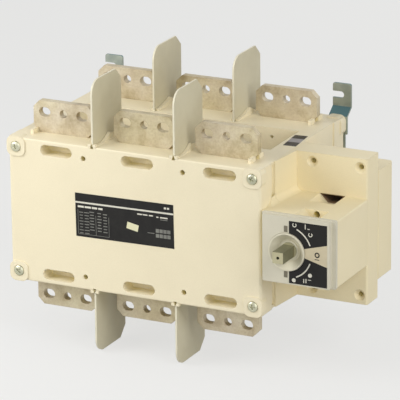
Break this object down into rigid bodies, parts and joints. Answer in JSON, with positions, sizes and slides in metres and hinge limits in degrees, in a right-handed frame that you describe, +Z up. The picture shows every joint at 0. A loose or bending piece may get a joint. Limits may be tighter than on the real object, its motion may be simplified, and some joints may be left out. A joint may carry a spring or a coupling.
{
  "type": "changeover switch",
  "caption": "Manual changeover switch: cream switch modules one behind the other, bolted terminal bars above and below, phase barriers, side mechanism with a square drive shaft.",
  "frame": {"origin": "on the back face of the lower left strap ear, level with the lower fixing slots, on the solid strip just right of the slot", "axes": "+X to the operator's right along the row of poles, +Y from the operator to the wall, +Z up"},
  "size_m": [0.479, 0.318, 0.378],
  "materials": {
    "housing": "moulded cream thermoset, fine satin grain",
    "terminal_bar": "tin-plated copper bar, brushed along its length",
    "barrier": "thin grey-beige insulating sheet",
    "dial_plate": "moulded light grey plastic, satin",
    "shaft_seat": "moulded light grey plastic, satin",
    "drive_shaft": "blackened steel with a bare machined end",
    "strap": "zinc-plated steel sheet"
  },
  "bodies": {
    "switch": {"front_cover": "housing", "front_case": "housing", "rear_cover": "housing", "rear_case": "housing", "front_top_bar_1": "terminal_bar", "front_top_bar_2": "terminal_bar", "front_top_bar_3": "terminal_bar", "front_bottom_bar_1": "terminal_bar", "front_bottom_bar_2": "terminal_bar", "front_bottom_bar_3": "terminal_bar", "rear_top_bar_1": "terminal_bar", "rear_top_bar_2": "terminal_bar", "rear_top_bar_3": "terminal_bar", "rear_bottom_bar_1": "terminal_bar", "rear_bottom_bar_2": "terminal_bar", "rear_bottom_bar_3": "terminal_bar", "front_top_barrier_left": "barrier", "front_top_barrier_right": "barrier", "front_bottom_barrier_left": "barrier", "front_bottom_barrier_right": "barrier", "rear_top_barrier_left": "barrier", "rear_top_barrier_right": "barrier", "rear_bottom_barrier_left": "barrier", "rear_bottom_barrier_right": "barrier", "left_link": "housing", "right_link": "housing", "mechanism_frame": "housing", "mechanism_box": "housing", "mechanism_back": "housing", "dial_plate": "dial_plate", "shaft_seat": "shaft_seat", "left_strap": "strap", "right_strap": "strap"},
    "shaft": {"drive_shaft": "drive_shaft"}
  },
  "joints": [
    {"name": "shaft_turn", "type": "hinge", "parent": "switch", "child": "shaft", "pos_m": [0.38905, -0.28, 0.123], "axis": [0, 1, 0], "range_deg": [-90, 90]}
  ]
}
